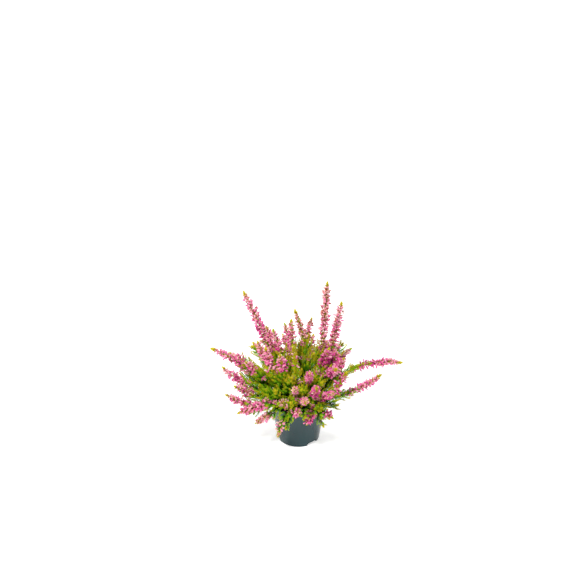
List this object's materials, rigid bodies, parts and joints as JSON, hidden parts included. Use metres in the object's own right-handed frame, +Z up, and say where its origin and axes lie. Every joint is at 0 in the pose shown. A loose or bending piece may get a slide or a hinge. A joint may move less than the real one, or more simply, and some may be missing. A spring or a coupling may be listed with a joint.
{
  "type": "potted heather",
  "caption": "Flowering heather in a thin tapered plastic nursery pot: forked leafy stems, each fork ending in a slender spike of pink buds.",
  "frame": {"origin": "middle of the pot's flat underside", "axes": "+Z up along the pot's axis, -Y towards the front"},
  "size_m": [0.3858, 0.2698, 0.3249],
  "materials": {
    "pot_plastic": "satin slate-grey moulded plastic",
    "soil_peat": "dark crumbly peat",
    "heather_leaves": "green scale leaves, yellow-green at the tips",
    "heather_buds": "magenta-pink closed buds",
    "heather_pale_buds": "pale pink closed buds"
  },
  "bodies": {
    "root": {"pot": "pot_plastic", "soil": "soil_peat", "leafy_stem_back_right": "heather_leaves", "spike_back_right_1": "heather_buds", "spike_back_right_2": "heather_buds", "spike_back_right_3": "heather_buds", "leafy_stem_back_middle": "heather_leaves", "spike_back_middle_1": "heather_pale_buds", "spike_back_middle_2": "heather_buds", "spike_back_middle_3": "heather_buds", "leafy_stem_back_left": "heather_leaves", "spike_back_left_1": "heather_buds", "spike_back_left_2": "heather_buds", "leafy_stem_middle": "heather_leaves", "spike_middle_1": "heather_buds", "spike_middle_2": "heather_buds", "spike_middle_3": "heather_buds", "leafy_stem_left": "heather_leaves", "spike_left_1": "heather_buds", "spike_left_2": "heather_buds", "spike_left_3": "heather_buds", "spike_left_4": "heather_buds", "leafy_stem_low_left": "heather_leaves", "spike_low_left_1": "heather_buds", "spike_low_left_2": "heather_buds", "spike_low_left_3": "heather_buds", "spike_low_left_4": "heather_pale_buds", "leafy_stem_front_left": "heather_leaves", "spike_front_left_1": "heather_buds", "spike_front_left_2": "heather_buds", "spike_front_left_3": "heather_buds", "spike_front_left_4": "heather_pale_buds", "leafy_stem_front": "heather_leaves", "spike_front_1": "heather_buds", "spike_front_2": "heather_buds", "spike_front_3": "heather_pale_buds", "leafy_stem_front_right": "heather_leaves", "spike_front_right_1": "heather_buds", "spike_front_right_2": "heather_buds", "spike_front_right_3": "heather_buds", "spike_front_right_4": "heather_buds", "leafy_stem_right": "heather_leaves", "spike_right_1": "heather_buds", "spike_right_2": "heather_buds", "spike_right_3": "heather_buds", "leafy_stem_centre_front": "heather_leaves", "spike_centre_front_1": "heather_buds", "spike_centre_front_2": "heather_buds", "spike_centre_front_3": "heather_buds", "spike_centre_front_4": "heather_buds", "spike_centre_front_5": "heather_buds", "spike_centre_front_6": "heather_buds", "leafy_stem_back": "heather_leaves", "spike_back_1": "heather_buds", "spike_back_2": "heather_buds", "spike_back_3": "heather_buds", "leafy_stem_back_low_left": "heather_leaves", "spike_back_low_left_1": "heather_buds", "spike_back_low_left_2": "heather_buds", "spike_back_low_left_3": "heather_buds"}
  },
  "joints": []
}
